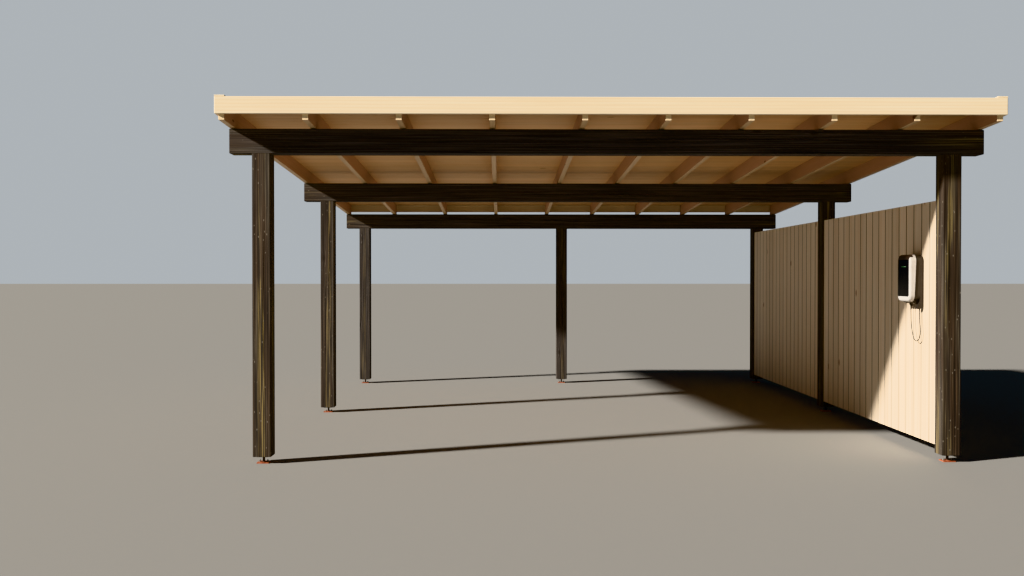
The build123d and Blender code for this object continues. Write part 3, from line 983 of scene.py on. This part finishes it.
def gloss_panel():
    """Black acrylic, polished to roughness 0.1, with wiping marks and a satin top painted brown as
    a painted reflection of the pine.
    """
    material, tree = new_material("black_gloss_acrylic", IOR=1.49, Specular_IOR_Level=0.3)
    place = add(tree, "TexCoord", output="Object")
    wiped = add(tree, "TexNoise", {"Vector": place, "Scale": 25.0, "Detail": 4.0})
    rough = add(tree, "MapRange", wiped, 0.0, 1.0, 0.06, 0.22)
    above = add(tree, "SeparateXYZ", place, output="Z")
    satin_reflection = add(tree, "MapRange", above, *satin_reflection_start)
    rough = add(tree, "Mix", {0: satin_reflection, 2: rough, 3: 0.45})
    # The brown over the top is a painted reflection of the pine boards; the satin roughness is
    # real.
    colour = add(tree, "Mix", {0: satin_reflection, 6: "#060607", 7: "#2E2521"}, **as_colours)
    return shade(material, Base_Color=colour, Roughness=rough)


primer = primed_steel()
finishes = {
    "charger_housing": moulded_plastic("charcoal_abs", "#282421", "#322D29", 0.5),
    "charger_cover": moulded_plastic("off_white_asa", "#B3B1AF", "#ABA8A4", 0.4),
    "charger_panel": gloss_panel(),
}
for name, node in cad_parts.items():
    finish = primer if name in anchors else finishes.get(name)
    if finish:
        node.data.materials.clear()
        node.data.materials.append(finish)
print("finished", len(finishes), "charger nodes and", len(anchors), "anchors")

# %% [markdown]
# ## The charger's seam and status light
# The housing is moulded in two halves, and a dark strip stands proud all round where they meet,
# as painted shade for the shadow line in the seam. A status light, a green line a hand wide,
# glows high in the panel's black front. The strip is flat and carried round a rounded rectangle,
# which is one array of points.

# %% Seam shadow strip and light
seam_shadow_out = 0.040
seam_shadow_width = 0.0016
seam_shadow_proud = 0.0004
seam_shadow_inset = 0.001
housing_corner = 0.052
housing_size = np.array([0.234, 0.388])
corner_steps = 12
light_size = np.array([0.0008, 0.100, 0.005])
light_aside = 0.012
light_height = 1.573
light_ease = 0.0004
light_cap = 0.9
light_cap_inset = 0.001
cover_middle = np.mean(corners("charger_cover"), axis=0)


def seam_shadow_strip():
    """A flat dark ring round the housing, whose section is a strip that stands a little proud:
    painted shade for the shadow line in the seam.
    """
    inner, outer = (eased_section(*(housing_size + 2 * grown), housing_corner + grown,
                                  corner_steps) for grown in (-seam_shadow_inset, seam_shadow_proud))
    out = wall_face - seam_shadow_out
    back, front = out + seam_shadow_width / 2, out - seam_shadow_width / 2
    loops = [(inner, back), (outer, back), (outer, front), (inner, front)]
    points = np.stack([np.column_stack([np.full(len(loop), x), -loop[:, 0], loop[:, 1]])
                       for loop, x in loops])
    points[..., 1:] += cover_middle[1:]
    index = np.arange(points[..., 0].size).reshape(4, -1)
    onward = np.roll(index, -1, 0)
    faces = np.stack([index, onward, np.roll(onward, -1, 1), np.roll(index, -1, 1)], -1)
    # Painted shade: a dark strip where the seam between the halves would show a shadow line.
    return finish_piece("housing_seam_shadow", points, lead_rubber, "dark_plastic",
                        faces=faces.reshape(-1, 4).tolist())


def status_light():
    """A green diffuser with eased edges, let into the panel and 0.4 mm proud."""
    panel_face = corners("charger_panel")[0][0]
    centre = np.array([panel_face, cover_middle[1] - light_aside, light_height])
    low, high = centre - light_size / 2, centre + light_size / 2
    material, tree = new_material("green_lit_diffuser", Roughness=0.3, IOR=1.49,
                                  Emission_Strength=0.5, Base_Color="#1C3A24")
    place = add(tree, "TexCoord", output="Object")
    along = add(tree, "SeparateXYZ", place, output="Y")
    glow = add(tree, "MapRange", along, low[1], high[1])
    colour = add(tree, "ValToRGB", glow, stops=((0.0, "#4E6A48"), (0.2, "#B4D6AE"),
                                                (0.55, "#5E8F5C"), (1.0, "#1E3D22")))
    shade(material, Emission_Color=colour)
    section = eased_section(light_size[[2]], light_size[[0]], light_ease)
    rings = carried(section, section * light_cap, low[None], high[None], 1, light_cap_inset)
    return finish_piece("status_light", rings, material, "panel_gloss")


seam_shadow_strip()
status_light()

# %% [markdown]
# ## The studio
# The carport stands on a plain pale floor before a plain backdrop. The key light is a wide,
# slightly soft lamp from the left and the front at thirty degrees, where the sun stands in the
# real view, because that draws the lit end of the wall, the bright fascia and the dark inner
# side of every post. The fill is weak, as under a real roof. The backdrop that the camera sees
# may be brighter than the fill, so the world asks which rays come to it. The neutral view
# transform keeps the warm colour of bright pine, which the default one would pale.

# %% Floor and light
floor_half = 200.0
key_energy = 9.5
key_softness = radians(3)
key_travel = Vector((1.0, 0.41, -0.58))
fill_strength = 0.10
backdrop_strength = 0.75

floor_mesh = bpy.data.meshes.new("studio_floor")
floor_mesh.from_pydata([(-floor_half, -floor_half, 0), (floor_half, -floor_half, 0),
                        (floor_half, floor_half, 0), (-floor_half, floor_half, 0)], [],
                       [(0, 1, 2, 3)])
floor_paint, _ = new_material("pale_matt_floor", Roughness=0.9, Base_Color="#868684")
floor_mesh.materials.append(floor_paint)
floor = placed("studio_floor", floor_mesh)

key_data = bpy.data.lights.new("key", "SUN")
key_data.energy = key_energy
key_data.angle = key_softness
key_data.color = linear("#FFF6EA")[:3]
key = placed("key", key_data)
key.rotation_euler = key_travel.to_track_quat("-Z", "Y").to_euler()

world = bpy.data.worlds.new("studio")
world.use_nodes = True
world_tree = world.node_tree
fill = world_tree.nodes["Background"]
feed(world_tree, fill.inputs, {"Color": "#DCE6F2", "Strength": fill_strength})
backdrop = add(world_tree, "Background", {"Color": "#CDD3D8", "Strength": backdrop_strength})
seen = add(world_tree, "LightPath", output="Is Camera Ray")
shown = add(world_tree, "MixShader", {0: seen, 1: fill.outputs[0], 2: backdrop})
feed(world_tree, world_tree.nodes["World Output"].inputs, {"Surface": shown})
bpy.context.scene.world = world
bpy.context.scene.view_settings.view_transform = "Khronos PBR Neutral"
print("key light travels along", tuple(key_travel))
